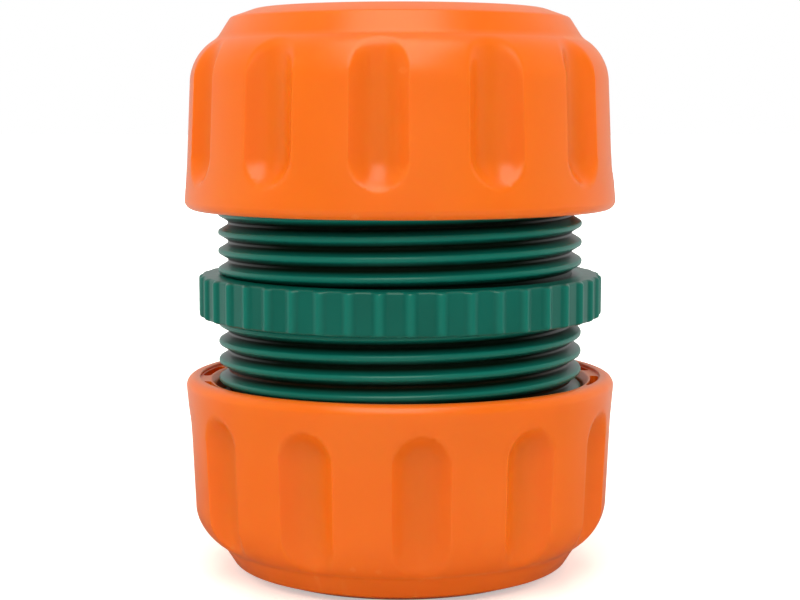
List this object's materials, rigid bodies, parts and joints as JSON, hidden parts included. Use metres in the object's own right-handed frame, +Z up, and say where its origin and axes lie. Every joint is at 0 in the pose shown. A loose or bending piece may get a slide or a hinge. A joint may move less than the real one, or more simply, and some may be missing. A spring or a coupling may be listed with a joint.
{
  "type": "hose mender",
  "caption": "Compression hose mender: a threaded body with a ribbed flange and two barbed tails, a fluted nut screwed on to each end, and a split gripping collet inside each nut.",
  "frame": {"origin": "centre of the lower nut's end face, on the ground that the mender stands on", "axes": "+Z up along the common axis of body, nuts and collets; -Y is the side that faces the camera"},
  "size_m": [0.046, 0.046, 0.06],
  "materials": {
    "green_plastic": "satin",
    "orange_plastic": "satin",
    "white_plastic": "satin"
  },
  "bodies": {
    "body": {"body": "green_plastic"},
    "upper_nut": {"upper_nut": "orange_plastic"},
    "lower_nut": {"lower_nut": "orange_plastic"},
    "upper_collet": {"upper_collet": "white_plastic"},
    "lower_collet": {"lower_collet": "white_plastic"}
  },
  "joints": [
    {"name": "upper_travel", "type": "slide", "parent": "body", "child": "upper_collet", "axis": [0, 0, 1], "range_m": [-0.00681, 0.00451]},
    {"name": "upper_turn", "type": "hinge", "parent": "upper_collet", "child": "upper_nut", "pos_m": [0, 0, 0.0489], "axis": [0, 0, 1], "range_deg": [-1224, 810]},
    {"name": "lower_travel", "type": "slide", "parent": "body", "child": "lower_collet", "axis": [0, 0, 1], "range_m": [-0.00501, 0.00621]},
    {"name": "lower_turn", "type": "hinge", "parent": "lower_collet", "child": "lower_nut", "pos_m": [0, 0, 0.0111], "axis": [0, 0, 1], "range_deg": [-900, 1116]}
  ],
  "couplings": [
    {"joint": "upper_travel", "follows": "upper_turn", "m_per_rad": 0.00031831},
    {"joint": "lower_travel", "follows": "lower_turn", "m_per_rad": 0.00031831}
  ]
}
